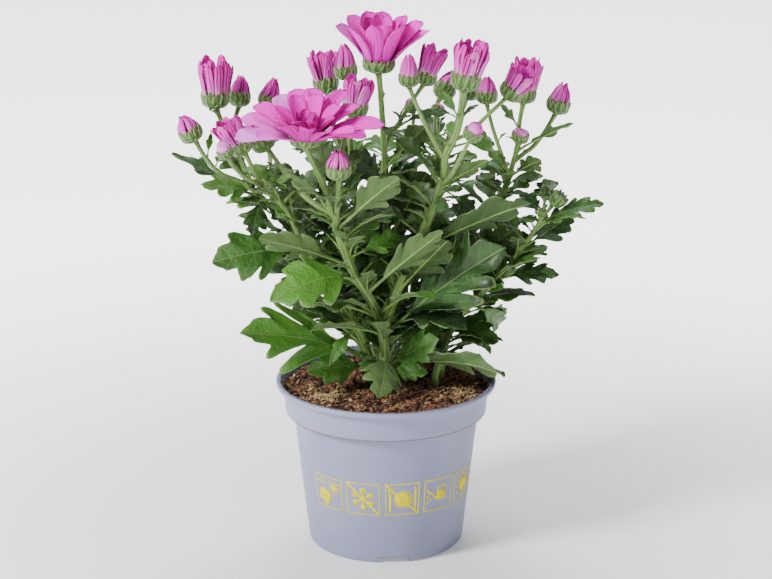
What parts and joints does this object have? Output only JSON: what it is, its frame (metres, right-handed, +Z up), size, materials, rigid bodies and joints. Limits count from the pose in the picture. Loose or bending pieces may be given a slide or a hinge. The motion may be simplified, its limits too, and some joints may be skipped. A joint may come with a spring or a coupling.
{
  "type": "potted chrysanthemum",
  "caption": "Bushy chrysanthemum with pink blooms and buds on branching leafy stems, growing in peat in a round plastic nursery pot with a deep rim band.",
  "frame": {"origin": "on the pot's axis, at the surface the pot stands on, under the middle of the whole plant", "axes": "+Z up along the pot's axis and the plant's height, -Y towards the front side, +X to the right seen from the front"},
  "size_m": [0.2279, 0.1684, 0.293],
  "materials": {
    "pot": "satin",
    "soil": "rough",
    "green": "soft",
    "petals": "soft"
  },
  "bodies": {
    "root": {"pot": "pot", "soil": "soil", "shoot_front": "green", "shoot_left_front": "green", "shoot_left": "green", "shoot_centre": "green", "shoot_top": "green", "shoot_back_left": "green", "shoot_right": "green", "shoot_low_right": "green", "shoot_back_right": "green", "petals_bloom_front": "petals", "petals_bud_round": "petals", "petals_half_inner": "petals", "petals_half_under": "petals", "petals_half_left": "petals", "petals_button_left": "petals", "petals_bud_middle_left": "petals", "petals_bud_far_left": "petals", "petals_half_tall_left": "petals", "petals_bud_behind_left": "petals", "petals_half_right_centre": "petals", "petals_bud_centre": "petals", "petals_button_right": "petals", "petals_half_leaning": "petals", "petals_bloom_top": "petals", "petals_half_centre": "petals", "petals_button_behind": "petals", "petals_bud_back": "petals", "petals_half_back": "petals", "petals_button_low": "petals", "petals_bud_far_right": "petals", "petals_half_right": "petals", "petals_bud_right": "petals", "petals_bud_facing_back": "petals", "petals_bud_hidden": "petals", "petals_button_back": "petals"}
  },
  "joints": []
}
